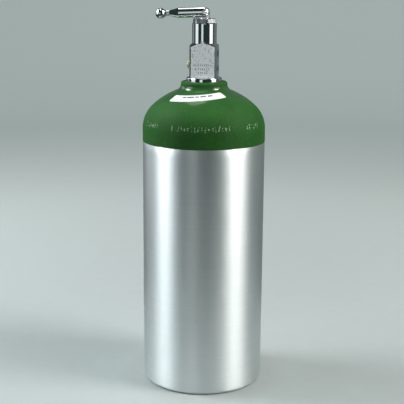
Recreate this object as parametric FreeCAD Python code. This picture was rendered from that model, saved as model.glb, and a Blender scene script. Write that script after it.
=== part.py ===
import FreeCAD, Part
import math
import os

# A portable medical oxygen cylinder with a pin-index post valve and a folding toggle lever.
# Millimetres. The origin is the centre of the foot, +Z is up the cylinder's axis, the gas outlet
# faces +X, the marked flat of the valve faces -Y and the closed lever points along -X.

# ---- Pressure vessel: a seamless aluminium cylinder of 111.3 mm outside diameter ----
TANK_RADIUS = 55.65
NECK_TOP_Z = 280.0
WALL = 5.0
BASE_THICKNESS = 9.0
FOOT_EDGE_RADIUS = 3.5
FOOT_RING_INNER_RADIUS = 41.0
BASE_DISH_DEPTH = 2.0
SHOULDER_Z = 237.5
KNUCKLE_RADIUS = 28.0
CROWN_RADIUS = 68.0
NECK_RADIUS = 21.0
NECK_FILLET = 6.0
NECK_EDGE_RADIUS = 2.2
INNER_SHOULDER_Z = 226.0
INNER_KNUCKLE_RADIUS = 24.0
INNER_CROWN_RADIUS = 56.0
INNER_BASE_CORNER = 14.0

# ---- Neck joint: 3/4-16 straight thread with a face O-ring under the valve's flange ----
NECK_THREAD_PITCH = 1.5875
NECK_THREAD_RIDGES = 7
NECK_BORE_RADIUS = 9.55
NECK_BORE_CREST = 8.80
STEM_CREST = 9.40
STEM_ROOT = 8.65
NECK_THREAD_START_Z = 265.2
GLAND_RADIUS = 11.5
GLAND_DEPTH = 2.7
O_RING_SECTION = 1.3
THREAD_CREST_HALF = 0.10
THREAD_HALF_ANGLE = 30.0

# ---- Valve body: flange, block with bevelled corners and two marked flats, round post ----
FLANGE_RADIUS = 16.0
FLANGE_THICKNESS = 3.6
FLANGE_EDGE_RADIUS = 1.1
BLOCK_X = 24.5
BLOCK_Y = 22.1
BLOCK_BEVEL_X = 1.9
BLOCK_BEVEL_Y = 3.5
BLOCK_TOP_Z = 313.8
BLOCK_TOP_CHAMFER_ANGLE = 36.0
POST_RADIUS = 11.0
POST_TOP_Z = 331.4
POST_TOP_CHAMFER = 0.3
STEM_BOTTOM_Z = 262.0
STEM_CHAMFER = 0.6

# ---- Passages inside the valve ----
INLET_RADIUS = 2.5
FILTER_BORE_RADIUS = 3.4
FILTER_SHOULDER_Z = 268.4
FILTER_CHAMFER = 0.6
RING_GROOVE_RADIUS = 4.0
RING_GROOVE_Z = 262.6
RING_GROOVE_WIDTH = 0.7
RING_LIP = 0.7
RING_GAP = 1.2
SEAT_BORE_RADIUS = 2.0
SEAT_Z = 300.0
SEAT_BORE_DEPTH = 2.5
SEAT_LIP_HEIGHT = 0.8
SEAT_LIP_OUTER = 3.0
SEAT_LIP_FOOT = 3.5
CHAMBER_RADIUS = 5.6
COLLAR_BORE_Z = 316.0
COLLAR_BORE_RADIUS = 7.0
BONNET_LEDGE_Z = 319.0
OUTLET_Z = 304.9
OUTLET_BORE_RADIUS = 1.75
OUTLET_RECESS_RADIUS = 3.5
OUTLET_RECESS_DEPTH = 2.0

# ---- Pin-index system: two blind holes 14.3 mm from the outlet, 18 degrees each side ----
INDEX_PITCH_RADIUS = 14.3
INDEX_ANGLE = 18.0
INDEX_HOLE_RADIUS = 2.375
INDEX_HOLE_DEPTH = 6.0
DIMPLE_RADIUS = 3.2
DIMPLE_DEPTH = 2.2

# ---- Generic tally marks stamped into the front flat: (height of the row's foot, marks) ----
MARK_ROWS = ((287.2, 5), (290.6, 7), (294.0, 9))
MARK_HEIGHT = 1.7
MARK_WIDTH = 0.42
MARK_DEPTH = 0.25
MARK_SPACING = 1.9
MARK_LEAN = 12.0

# ---- Pressure relief: brass plug over a copper disc, on the side away from the outlet ----
RELIEF_Z = 294.5
RELIEF_PASSAGE_RADIUS = 1.0
RELIEF_CAVITY_DEPTH = 6.5
RELIEF_THREAD_PITCH = 0.8
RELIEF_THREAD_RIDGES = 6
RELIEF_THREAD_START = 1.9
RELIEF_BORE_RADIUS = 3.25
RELIEF_BORE_CREST = 2.90
RELIEF_PLUG_CREST = 3.17
RELIEF_PLUG_ROOT = 2.80
RELIEF_HEAD_RADIUS = 3.6
RELIEF_HEAD_HEIGHT = 2.7
RELIEF_HEAD_CHAMFER = 0.4
RELIEF_VENT_RADIUS = 0.9
RELIEF_CROSS_RADIUS = 0.45
RELIEF_SLOT_WIDTH = 0.8
RELIEF_SLOT_DEPTH = 0.7
DISC_THICKNESS = 0.25
DISC_RADIUS = 2.8
RELIEF_GASKET_THICKNESS = 0.6
RELIEF_GASKET_INNER = 1.4

# ---- Bonnet nut ----
BONNET_THREAD_PITCH = 1.25
BONNET_THREAD_RIDGES = 8
BONNET_THREAD_START_Z = 321.2
BONNET_BORE_RADIUS = 8.55
BONNET_BORE_CREST = 7.95
BONNET_CREST = 8.45
BONNET_ROOT = 7.85
BONNET_BOTTOM_Z = 320.0
BONNET_SIDES = 6
BONNET_FLATS = 19.05
BONNET_FLAT_ANGLE = 51.0
BONNET_CORNER_RADIUS = 10.6
BONNET_TOP_Z = 335.6
BONNET_CHAMFER = 1.5
BONNET_CHAMFER_RISE = 0.8
BONNET_MOUTH_CHAMFER = 0.5

# ---- Spindle and carrier ----
SPINDLE_RADIUS = 4.70
SPINDLE_BORE_RADIUS = 4.75
COLLAR_RADIUS = 6.8
COLLAR_BOTTOM_Z = 316.5
COLLAR_TOP_Z = 318.9
COLLAR_TAPER = 0.8
BLADE_LENGTH = 8.4
BLADE_THICKNESS = 2.4
BLADE_BOTTOM_Z = 309.4
GROOVE_ROOT = 3.40
SHAFT_RING_SECTION = 0.65
SHAFT_RING_CENTRE = 4.05
LOWER_GROOVE_Z = 322.2
LOWER_GROOVE_WIDTH = 2.4
UPPER_GROOVE_Z = 327.4
UPPER_GROOVE_WIDTH = 1.6
BACKUP_THICKNESS = 0.9
SPINDLE_SHOULDER_Z = 335.9
TONGUE_THICKNESS = 3.2
TONGUE_RADIUS = 4.6
WASHER_INNER = 4.80
WASHER_OUTER = 6.70
FIT_GAP = 0.05
CARRIER_RADIUS = 5.52
CARRIER_SKIRT_RADIUS = 4.2
CARRIER_BOTTOM_Z = 301.0
CARRIER_THREAD_Z = 306.8
CARRIER_TOP_Z = 312.4
CARRIER_CHAMFER = 1.0
CARRIER_SLOT_Z = 307.2
CARRIER_SLOT_WIDTH = 2.6
INSERT_RADIUS = 3.4
INSERT_TOP_Z = 303.2

# ---- Toggle lever: a round bar with a rounded hub, a coned neck and a ball ----
PIVOT_Z = 341.0
LEVER_DROOP = 2.4
BAR_RADIUS = 4.55
BAR_END = 23.1
NECK_END = 31.7
LEVER_NECK_RADIUS = 2.5
BALL_RADIUS = 4.7
BALL_CENTRE = 39.7
BALL_FILLET = 4.0
BAR_EDGE_RADIUS = 1.5
FORK_SLOT_WIDTH = 3.7
FORK_SLOT_DEPTH = 4.9
PIN_RADIUS = 1.75
PIN_HOLE_RADIUS = 1.80
PIN_HALF_LENGTH = 4.35
PIN_CHAMFER = 0.25

# ---- Label: a strip laid round the dome, a little off centre ----
LABEL_CENTRE = (-4.3, -2.6)
LABEL_INNER_RADIUS = 26.0
LABEL_OUTER_RADIUS = 34.0
LABEL_START_ANGLE = -41.5
LABEL_END_ANGLE = 54.2
LABEL_THICKNESS = 0.15

# ---- Derived heights ----
CROWN_Z = SHOULDER_Z - math.sqrt(
    (CROWN_RADIUS - KNUCKLE_RADIUS) ** 2 - (TANK_RADIUS - KNUCKLE_RADIUS) ** 2
)
INNER_RADIUS = TANK_RADIUS - WALL
INNER_CROWN_Z = INNER_SHOULDER_Z - math.sqrt(
    (INNER_CROWN_RADIUS - INNER_KNUCKLE_RADIUS) ** 2 - (INNER_RADIUS - INNER_KNUCKLE_RADIUS) ** 2
)
FLANGE_TOP_Z = NECK_TOP_Z + FLANGE_THICKNESS
FACE_X = BLOCK_X / 2
RELIEF_FLOOR_X = FACE_X - RELIEF_CAVITY_DEPTH

# How far a cutting or joining solid runs past the face it meets
OVERRUN = 1.0

Z_AXIS = FreeCAD.Vector(0, 0, 1)
Y_AXIS = FreeCAD.Vector(0, 1, 0)
X_AXIS = FreeCAD.Vector(1, 0, 0)
ORIGIN = FreeCAD.Vector(0, 0, 0)


# ---- Drawing helpers ----
def at(r, z):
    """A point of a section drawn in the XZ plane."""
    return FreeCAD.Vector(r, 0, z)


def on_circle(centre, radius, degrees):
    """The (r, z) point at an angle on a circle of the section."""
    a = math.radians(degrees)
    return (centre[0] + radius * math.cos(a), centre[1] + radius * math.sin(a))


def arc(centre, radius, start, end):
    """An arc step of a section: its middle point and its end point."""
    return (on_circle(centre, radius, (start + end) / 2), on_circle(centre, radius, end))


def section(start, *steps):
    """A closed face in the XZ plane. A step is a point, or the pair that arc() gives."""
    edges = []
    here = start
    for step in steps:
        if isinstance(step[0], tuple):
            middle, end = step
            edges.append(Part.Arc(at(*here), at(*middle), at(*end)).toShape())
        else:
            end = step
            edges.append(Part.makeLine(at(*here), at(*end)))
        here = end
    edges.append(Part.makeLine(at(*here), at(*start)))
    return Part.Face(Part.Wire(edges))


def turned(start, *steps):
    """A solid turned about Z from a section."""
    return section(start, *steps).revolve(ORIGIN, Z_AXIS, 360)


def tube(outer, inner, low, high):
    """A plain ring between two heights."""
    return turned((inner, low), (outer, low), (outer, high), (inner, high))


def cylinder(radius, low, high):
    return Part.makeCylinder(radius, high - low, at(0, low))


def torus(centre_radius, section_radius, z):
    return Part.makeTorus(centre_radius, section_radius, at(0, z))


def thread(root, crest, first, pitch, count):
    """Section points of a stack of thread ridges, going up. The crest may lie inside the root."""
    base_half = THREAD_CREST_HALF + abs(crest - root) * math.tan(math.radians(THREAD_HALF_ANGLE))
    points = []
    for i in range(count):
        z = first + i * pitch
        points += [(root, z - base_half), (crest, z - THREAD_CREST_HALF)]
        points += [(crest, z + THREAD_CREST_HALF), (root, z + base_half)]
    return points


def aimed(shape, axis, z):
    """A shape drawn along +Z from the origin, laid along an axis of the valve at a height."""
    moved = shape.copy()
    moved.Placement = FreeCAD.Placement(at(0, z), FreeCAD.Rotation(Z_AXIS, axis))
    return moved


def centred_box(x, y, low, high):
    return Part.makeBox(x, y, high - low, FreeCAD.Vector(-x / 2, -y / 2, low))


def prism(outline, low, high):
    """An upright solid on an outline of (x, y) corners."""
    corners = [FreeCAD.Vector(x, y, low) for x, y in outline]
    return Part.Face(Part.makePolygon(corners + corners[:1])).extrude(Z_AXIS * (high - low))


# ---- Pressure vessel ----
def shoulder_steps():
    """Outside of the shoulder, from the wall up to the neck's top face: knuckle, crown, fillet."""
    knuckle = (TANK_RADIUS - KNUCKLE_RADIUS, SHOULDER_Z)
    join = math.degrees(math.atan2(SHOULDER_Z - CROWN_Z, knuckle[0]))
    fillet_r = NECK_RADIUS + NECK_FILLET
    fillet_rise = math.sqrt((CROWN_RADIUS + NECK_FILLET) ** 2 - fillet_r**2)
    fillet = (fillet_r, CROWN_Z + fillet_rise)
    touch = math.degrees(math.atan2(fillet_rise, fillet_r))
    edge = (NECK_RADIUS - NECK_EDGE_RADIUS, NECK_TOP_Z - NECK_EDGE_RADIUS)
    return [
        arc(knuckle, KNUCKLE_RADIUS, 0, join),
        arc((0, CROWN_Z), CROWN_RADIUS, join, touch),
        arc(fillet, NECK_FILLET, 180 + touch, 180),
        (NECK_RADIUS, edge[1]),
        arc(edge, NECK_EDGE_RADIUS, 0, 90),
    ]


def neck_bore_steps():
    """Top face to the bottom of the neck's bore: O-ring gland, then the threaded bore."""
    ridges = thread(
        NECK_BORE_RADIUS, NECK_BORE_CREST, NECK_THREAD_START_Z, NECK_THREAD_PITCH, NECK_THREAD_RIDGES
    )
    steps = [(GLAND_RADIUS, NECK_TOP_Z), (GLAND_RADIUS, NECK_TOP_Z - GLAND_DEPTH)]
    steps.append((NECK_BORE_RADIUS, NECK_TOP_Z - GLAND_DEPTH))
    return steps + ridges[::-1]


def inner_steps():
    """Inside of the vessel, from the foot of the neck's bore down to the middle of the floor."""
    mouth = math.degrees(math.acos(NECK_BORE_RADIUS / INNER_CROWN_RADIUS))
    knuckle = (INNER_RADIUS - INNER_KNUCKLE_RADIUS, INNER_SHOULDER_Z)
    join = math.degrees(math.atan2(INNER_SHOULDER_Z - INNER_CROWN_Z, knuckle[0]))
    corner = (INNER_RADIUS - INNER_BASE_CORNER, BASE_THICKNESS + INNER_BASE_CORNER)
    return [
        on_circle((0, INNER_CROWN_Z), INNER_CROWN_RADIUS, mouth),
        arc((0, INNER_CROWN_Z), INNER_CROWN_RADIUS, mouth, join),
        arc(knuckle, INNER_KNUCKLE_RADIUS, join, 0),
        (INNER_RADIUS, corner[1]),
        arc(corner, INNER_BASE_CORNER, 0, -90),
        (0, BASE_THICKNESS),
    ]


def cylinder_shell():
    dish_radius = (FOOT_RING_INNER_RADIUS**2 + BASE_DISH_DEPTH**2) / (2 * BASE_DISH_DEPTH)
    dish_centre = (0, BASE_DISH_DEPTH - dish_radius)
    dish_edge = math.degrees(math.acos(FOOT_RING_INNER_RADIUS / dish_radius))
    foot = (TANK_RADIUS - FOOT_EDGE_RADIUS, FOOT_EDGE_RADIUS)
    return turned(
        (0, BASE_DISH_DEPTH),
        arc(dish_centre, dish_radius, 90, dish_edge),
        (foot[0], 0),
        arc(foot, FOOT_EDGE_RADIUS, -90, 0),
        (TANK_RADIUS, SHOULDER_Z),
        *shoulder_steps(),
        *neck_bore_steps(),
        *inner_steps(),
    )


def shoulder_label():
    """A thin strip of the crown's sphere, cut out by two upright cylinders and two radial planes."""
    apex = at(0, CROWN_Z)
    skin = Part.makeSphere(CROWN_RADIUS + LABEL_THICKNESS, apex).cut(
        Part.makeSphere(CROWN_RADIUS, apex)
    )
    middle = FreeCAD.Vector(LABEL_CENTRE[0], LABEL_CENTRE[1], SHOULDER_Z)
    sweep = LABEL_END_ANGLE - LABEL_START_ANGLE
    height = CROWN_RADIUS
    strip = Part.makeCylinder(LABEL_OUTER_RADIUS, height, middle, Z_AXIS, sweep).cut(
        Part.makeCylinder(LABEL_INNER_RADIUS, height, middle)
    )
    strip.rotate(middle, Z_AXIS, LABEL_START_ANGLE - 90)
    return skin.common(strip)


def neck_o_ring():
    clear = O_RING_SECTION + FIT_GAP
    return torus(GLAND_RADIUS - clear, O_RING_SECTION, NECK_TOP_Z - clear)


# ---- Valve body ----
def valve_outside():
    """Threaded stem, flange, block with bevelled corners and a turned top, and round post."""
    edge = (FLANGE_RADIUS - FLANGE_EDGE_RADIUS, FLANGE_TOP_Z - FLANGE_EDGE_RADIUS)
    ridges = thread(
        STEM_ROOT,
        STEM_CREST,
        NECK_THREAD_START_Z + NECK_THREAD_PITCH / 2,
        NECK_THREAD_PITCH,
        NECK_THREAD_RIDGES - 1,
    )
    stem = turned(
        (0, STEM_BOTTOM_Z),
        (STEM_ROOT - STEM_CHAMFER, STEM_BOTTOM_Z),
        (STEM_ROOT, STEM_BOTTOM_Z + STEM_CHAMFER),
        *ridges,
        (STEM_ROOT, NECK_TOP_Z),
        (FLANGE_RADIUS, NECK_TOP_Z),
        (FLANGE_RADIUS, edge[1]),
        arc(edge, FLANGE_EDGE_RADIUS, 0, 90),
        (0, FLANGE_TOP_Z),
    )
    half_x = BLOCK_X / 2
    half_y = BLOCK_Y / 2
    flat_x = half_x - BLOCK_BEVEL_X
    flat_y = half_y - BLOCK_BEVEL_Y
    right = [(flat_x, -half_y), (half_x, -flat_y), (half_x, flat_y), (flat_x, half_y)]
    left = [(-x, -y) for x, y in right]
    block = prism(right + left, FLANGE_TOP_Z - OVERRUN, BLOCK_TOP_Z)
    reach = half_x + half_y
    drop = (reach - POST_RADIUS) * math.tan(math.radians(BLOCK_TOP_CHAMFER_ANGLE))
    cone = turned(
        (0, NECK_TOP_Z),
        (reach, NECK_TOP_Z),
        (reach, BLOCK_TOP_Z - drop),
        (POST_RADIUS, BLOCK_TOP_Z),
        (0, BLOCK_TOP_Z),
    )
    post = turned(
        (0, BLOCK_TOP_Z - OVERRUN),
        (POST_RADIUS, BLOCK_TOP_Z - OVERRUN),
        (POST_RADIUS, POST_TOP_Z - POST_TOP_CHAMFER),
        (POST_RADIUS - POST_TOP_CHAMFER, POST_TOP_Z),
        (0, POST_TOP_Z),
    )
    return stem.fuse([block.common(cone), post])


def valve_passages():
    """Everything bored down the axis: filter recess, inlet, seat, chamber and bonnet thread."""
    groove_top = RING_GROOVE_Z + RING_GROOVE_WIDTH
    floor = SEAT_Z - SEAT_LIP_HEIGHT
    ridges = thread(
        BONNET_BORE_RADIUS,
        BONNET_BORE_CREST,
        BONNET_THREAD_START_Z,
        BONNET_THREAD_PITCH,
        BONNET_THREAD_RIDGES,
    )
    return turned(
        (0, STEM_BOTTOM_Z - OVERRUN),
        (FILTER_BORE_RADIUS, STEM_BOTTOM_Z - OVERRUN),
        (FILTER_BORE_RADIUS, RING_GROOVE_Z),
        (RING_GROOVE_RADIUS, RING_GROOVE_Z),
        (RING_GROOVE_RADIUS, groove_top),
        (FILTER_BORE_RADIUS, groove_top),
        (FILTER_BORE_RADIUS, FILTER_SHOULDER_Z),
        (INLET_RADIUS, FILTER_SHOULDER_Z),
        (INLET_RADIUS, SEAT_Z - SEAT_BORE_DEPTH - INLET_RADIUS + SEAT_BORE_RADIUS),
        (SEAT_BORE_RADIUS, SEAT_Z - SEAT_BORE_DEPTH),
        (SEAT_BORE_RADIUS, SEAT_Z),
        (SEAT_LIP_OUTER, SEAT_Z),
        (SEAT_LIP_FOOT, floor),
        (CHAMBER_RADIUS, floor),
        (CHAMBER_RADIUS, COLLAR_BORE_Z),
        (COLLAR_BORE_RADIUS, COLLAR_BORE_Z),
        (COLLAR_BORE_RADIUS, BONNET_LEDGE_Z),
        (BONNET_BORE_RADIUS, BONNET_LEDGE_Z),
        *ridges,
        (BONNET_BORE_RADIUS, POST_TOP_Z + OVERRUN),
        (0, POST_TOP_Z + OVERRUN),
    )


def outlet_passage():
    """Gas outlet: a small bore to the chamber with a shallow recess for the yoke's seal."""
    floor = FACE_X - OUTLET_RECESS_DEPTH
    passage = cylinder(OUTLET_BORE_RADIUS, CHAMBER_RADIUS - OVERRUN, FACE_X)
    recess = cylinder(OUTLET_RECESS_RADIUS, floor, FACE_X + OVERRUN)
    return aimed(passage.fuse(recess), X_AXIS, OUTLET_Z)


def index_holes():
    drop = INDEX_PITCH_RADIUS * math.cos(math.radians(INDEX_ANGLE))
    side = INDEX_PITCH_RADIUS * math.sin(math.radians(INDEX_ANGLE))
    floor = FACE_X - INDEX_HOLE_DEPTH
    holes = []
    for y in (-side, side):
        hole = aimed(cylinder(INDEX_HOLE_RADIUS, floor, FACE_X + OVERRUN), X_AXIS, OUTLET_Z - drop)
        hole.translate(FreeCAD.Vector(0, y, 0))
        holes.append(hole)
    return holes


def yoke_screw_dimple():
    """Conical seat for the point of the yoke's clamping screw, opposite the outlet."""
    cone = Part.makeCone(0, DIMPLE_RADIUS, DIMPLE_DEPTH, at(0, FACE_X - DIMPLE_DEPTH))
    return aimed(cone, -X_AXIS, OUTLET_Z)


def relief_cavity():
    first = RELIEF_FLOOR_X + RELIEF_THREAD_START
    ridges = thread(
        RELIEF_BORE_RADIUS, RELIEF_BORE_CREST, first, RELIEF_THREAD_PITCH, RELIEF_THREAD_RIDGES - 1
    )
    cavity = turned(
        (0, INLET_RADIUS - OVERRUN),
        (RELIEF_PASSAGE_RADIUS, INLET_RADIUS - OVERRUN),
        (RELIEF_PASSAGE_RADIUS, RELIEF_FLOOR_X),
        (RELIEF_BORE_RADIUS, RELIEF_FLOOR_X),
        *ridges,
        (RELIEF_BORE_RADIUS, FACE_X + OVERRUN),
        (0, FACE_X + OVERRUN),
    )
    return aimed(cavity, -X_AXIS, RELIEF_Z)


def tally_marks():
    """Rows of plain slanting strokes sunk into the front flat in place of stamped lettering."""
    marks = []
    front = -BLOCK_Y / 2
    for foot, count in MARK_ROWS:
        for i in range(count):
            x = (i - (count - 1) / 2) * MARK_SPACING
            low = FreeCAD.Vector(x - MARK_WIDTH / 2, front - MARK_DEPTH, foot)
            mark = Part.makeBox(MARK_WIDTH, 2 * MARK_DEPTH, MARK_HEIGHT, low)
            lean = MARK_LEAN if i % 2 else -MARK_LEAN
            mark.rotate(FreeCAD.Vector(x, front, foot + MARK_HEIGHT / 2), Y_AXIS, lean)
            marks.append(mark)
    return marks


def valve_body():
    voids = [valve_passages(), outlet_passage(), yoke_screw_dimple(), relief_cavity()]
    return valve_outside().cut(voids + index_holes() + tally_marks())


# ---- Pieces in the valve's inlet ----
def inlet_filter():
    low = RING_GROOVE_Z + RING_GROOVE_WIDTH + FIT_GAP
    return turned(
        (0, low),
        (FILTER_BORE_RADIUS - FIT_GAP, low),
        (FILTER_BORE_RADIUS - FIT_GAP, FILTER_SHOULDER_Z - FILTER_CHAMFER),
        (FILTER_BORE_RADIUS - FIT_GAP - FILTER_CHAMFER, FILTER_SHOULDER_Z - FIT_GAP),
        (0, FILTER_SHOULDER_Z - FIT_GAP),
    )


def filter_retaining_ring():
    """An open spring ring in its groove."""
    low = RING_GROOVE_Z + FIT_GAP
    high = RING_GROOVE_Z + RING_GROOVE_WIDTH - FIT_GAP
    ring = tube(RING_GROOVE_RADIUS - FIT_GAP, FILTER_BORE_RADIUS - RING_LIP, low, high)
    opening = Part.makeBox(
        RING_GROOVE_RADIUS, RING_GAP, RING_GROOVE_WIDTH, FreeCAD.Vector(0, -RING_GAP / 2, RING_GROOVE_Z)
    )
    return ring.cut(opening)


# ---- Pressure relief ----
def rupture_disc():
    """A thin flat disc that bursts if the gas pressure climbs too high."""
    low = RELIEF_FLOOR_X + FIT_GAP
    disc = cylinder(DISC_RADIUS, low, low + DISC_THICKNESS)
    return aimed(disc, -X_AXIS, RELIEF_Z)


def relief_gasket():
    low = RELIEF_FLOOR_X + DISC_THICKNESS + 2 * FIT_GAP
    ring = tube(DISC_RADIUS, RELIEF_GASKET_INNER, low, low + RELIEF_GASKET_THICKNESS)
    return aimed(ring, -X_AXIS, RELIEF_Z)


def relief_plug():
    """Threaded brass plug with a slotted head, a central vent and two cross vents."""
    low = RELIEF_FLOOR_X + DISC_THICKNESS + RELIEF_GASKET_THICKNESS + 3 * FIT_GAP
    top = FACE_X + RELIEF_HEAD_HEIGHT
    first = RELIEF_FLOOR_X + RELIEF_THREAD_START + RELIEF_THREAD_PITCH / 2
    ridges = thread(
        RELIEF_PLUG_ROOT, RELIEF_PLUG_CREST, first, RELIEF_THREAD_PITCH, RELIEF_THREAD_RIDGES - 1
    )
    plug = turned(
        (0, low),
        (RELIEF_PLUG_ROOT, low),
        *ridges,
        (RELIEF_PLUG_ROOT, FACE_X),
        (RELIEF_HEAD_RADIUS, FACE_X),
        (RELIEF_HEAD_RADIUS, top - RELIEF_HEAD_CHAMFER),
        (RELIEF_HEAD_RADIUS - RELIEF_HEAD_CHAMFER, top),
        (0, top),
    )
    vent = cylinder(RELIEF_VENT_RADIUS, low - OVERRUN, top - RELIEF_SLOT_DEPTH / 2)
    cross_z = FACE_X + RELIEF_HEAD_HEIGHT / 2 - RELIEF_SLOT_DEPTH / 2
    cross_reach = 2 * RELIEF_HEAD_RADIUS
    cross = Part.makeCylinder(
        RELIEF_CROSS_RADIUS, cross_reach, FreeCAD.Vector(-cross_reach / 2, 0, cross_z), X_AXIS
    )
    slot = centred_box(cross_reach, RELIEF_SLOT_WIDTH, top - RELIEF_SLOT_DEPTH, top + OVERRUN)
    return aimed(plug.cut([vent, cross, slot]), -X_AXIS, RELIEF_Z)


# ---- Bonnet ----
def bonnet_nut():
    """Hollow gland nut: threaded skirt inside the post, hexagon head with turned corners above."""
    ridges = thread(
        BONNET_ROOT,
        BONNET_CREST,
        BONNET_THREAD_START_Z + BONNET_THREAD_PITCH / 2,
        BONNET_THREAD_PITCH,
        BONNET_THREAD_RIDGES - 1,
    )
    skirt = turned(
        (0, BONNET_BOTTOM_Z),
        (BONNET_ROOT, BONNET_BOTTOM_Z),
        *ridges,
        (BONNET_ROOT, POST_TOP_Z + OVERRUN),
        (0, POST_TOP_Z + OVERRUN),
    )
    step = 360 / BONNET_SIDES
    reach = BONNET_FLATS / 2 / math.cos(math.radians(step / 2))
    outline = [on_circle((0, 0), reach, step * (i + 0.5)) for i in range(BONNET_SIDES)]
    hexagon = prism(outline, POST_TOP_Z, BONNET_TOP_Z)
    hexagon.rotate(ORIGIN, Z_AXIS, BONNET_FLAT_ANGLE - 90)
    envelope = turned(
        (0, POST_TOP_Z),
        (BONNET_CORNER_RADIUS, POST_TOP_Z),
        (BONNET_CORNER_RADIUS, BONNET_TOP_Z - BONNET_CHAMFER_RISE),
        (BONNET_CORNER_RADIUS - BONNET_CHAMFER, BONNET_TOP_Z),
        (0, BONNET_TOP_Z),
    )
    bore = turned(
        (0, BONNET_BOTTOM_Z - OVERRUN),
        (SPINDLE_BORE_RADIUS, BONNET_BOTTOM_Z - OVERRUN),
        (SPINDLE_BORE_RADIUS, BONNET_TOP_Z - BONNET_MOUTH_CHAMFER),
        (SPINDLE_BORE_RADIUS + BONNET_MOUTH_CHAMFER, BONNET_TOP_Z),
        (SPINDLE_BORE_RADIUS + BONNET_MOUTH_CHAMFER, BONNET_TOP_Z + OVERRUN),
        (0, BONNET_TOP_Z + OVERRUN),
    )
    return skirt.fuse(hexagon.common(envelope)).cut(bore)


def bonnet_gasket():
    return tube(
        BONNET_BORE_RADIUS - FIT_GAP,
        COLLAR_BORE_RADIUS + FIT_GAP,
        BONNET_LEDGE_Z + FIT_GAP / 2,
        BONNET_BOTTOM_Z - FIT_GAP / 2,
    )


def thrust_washer():
    return tube(WASHER_OUTER, WASHER_INNER, COLLAR_TOP_Z + FIT_GAP, BONNET_BOTTOM_Z - FIT_GAP)


# ---- Spindle ----
def spindle():
    """Blade, collar, grooved shaft and, above the bonnet, a tongue with a rounded top."""
    shaft = turned(
        (0, COLLAR_BOTTOM_Z - COLLAR_TAPER),
        (BLADE_LENGTH / 2, COLLAR_BOTTOM_Z - COLLAR_TAPER),
        (COLLAR_RADIUS, COLLAR_BOTTOM_Z),
        (COLLAR_RADIUS, COLLAR_TOP_Z),
        (SPINDLE_RADIUS, COLLAR_TOP_Z),
        (SPINDLE_RADIUS, LOWER_GROOVE_Z),
        (GROOVE_ROOT, LOWER_GROOVE_Z),
        (GROOVE_ROOT, LOWER_GROOVE_Z + LOWER_GROOVE_WIDTH),
        (SPINDLE_RADIUS, LOWER_GROOVE_Z + LOWER_GROOVE_WIDTH),
        (SPINDLE_RADIUS, UPPER_GROOVE_Z),
        (GROOVE_ROOT, UPPER_GROOVE_Z),
        (GROOVE_ROOT, UPPER_GROOVE_Z + UPPER_GROOVE_WIDTH),
        (SPINDLE_RADIUS, UPPER_GROOVE_Z + UPPER_GROOVE_WIDTH),
        (SPINDLE_RADIUS, SPINDLE_SHOULDER_Z),
        (0, SPINDLE_SHOULDER_Z),
    )
    blade = centred_box(BLADE_LENGTH, BLADE_THICKNESS, BLADE_BOTTOM_Z, COLLAR_BOTTOM_Z)
    tongue = centred_box(2 * TONGUE_RADIUS, TONGUE_THICKNESS, SPINDLE_SHOULDER_Z - OVERRUN, PIVOT_Z)
    head = Part.makeCylinder(
        TONGUE_RADIUS, TONGUE_THICKNESS, FreeCAD.Vector(0, -TONGUE_THICKNESS / 2, PIVOT_Z), Y_AXIS
    )
    pin_hole = Part.makeCylinder(
        PIN_HOLE_RADIUS, 2 * TONGUE_THICKNESS, FreeCAD.Vector(0, -TONGUE_THICKNESS, PIVOT_Z), Y_AXIS
    )
    turned_size = cylinder(SPINDLE_RADIUS, BLADE_BOTTOM_Z, PIVOT_Z + TONGUE_RADIUS + OVERRUN)
    top = tongue.fuse(head).common(turned_size)
    return shaft.fuse([blade, top]).cut(pin_hole)


def backup_ring():
    low = LOWER_GROOVE_Z + LOWER_GROOVE_WIDTH - BACKUP_THICKNESS - FIT_GAP
    return tube(SPINDLE_RADIUS - FIT_GAP / 2, GROOVE_ROOT + FIT_GAP / 2, low, low + BACKUP_THICKNESS)


def spindle_o_ring_lower():
    return torus(SHAFT_RING_CENTRE, SHAFT_RING_SECTION, LOWER_GROOVE_Z + SHAFT_RING_SECTION + FIT_GAP)


def spindle_o_ring_upper():
    return torus(SHAFT_RING_CENTRE, SHAFT_RING_SECTION, UPPER_GROOVE_Z + UPPER_GROOVE_WIDTH / 2)


# ---- Seat carrier ----
def seat_carrier():
    """Lower plug: a skirt that holds the seat insert, a guided body and a slot for the blade."""
    plug = turned(
        (0, INSERT_TOP_Z),
        (INSERT_RADIUS, INSERT_TOP_Z),
        (INSERT_RADIUS, CARRIER_BOTTOM_Z),
        (CARRIER_SKIRT_RADIUS, CARRIER_BOTTOM_Z),
        (CARRIER_SKIRT_RADIUS, CARRIER_THREAD_Z - CARRIER_CHAMFER),
        (CARRIER_RADIUS, CARRIER_THREAD_Z),
        (CARRIER_RADIUS, CARRIER_TOP_Z),
        (0, CARRIER_TOP_Z),
    )
    slot = centred_box(4 * CARRIER_RADIUS, CARRIER_SLOT_WIDTH, CARRIER_SLOT_Z, CARRIER_TOP_Z + OVERRUN)
    return plug.cut(slot)


def seat_insert():
    return cylinder(INSERT_RADIUS, SEAT_Z + FIT_GAP, INSERT_TOP_Z)


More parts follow.
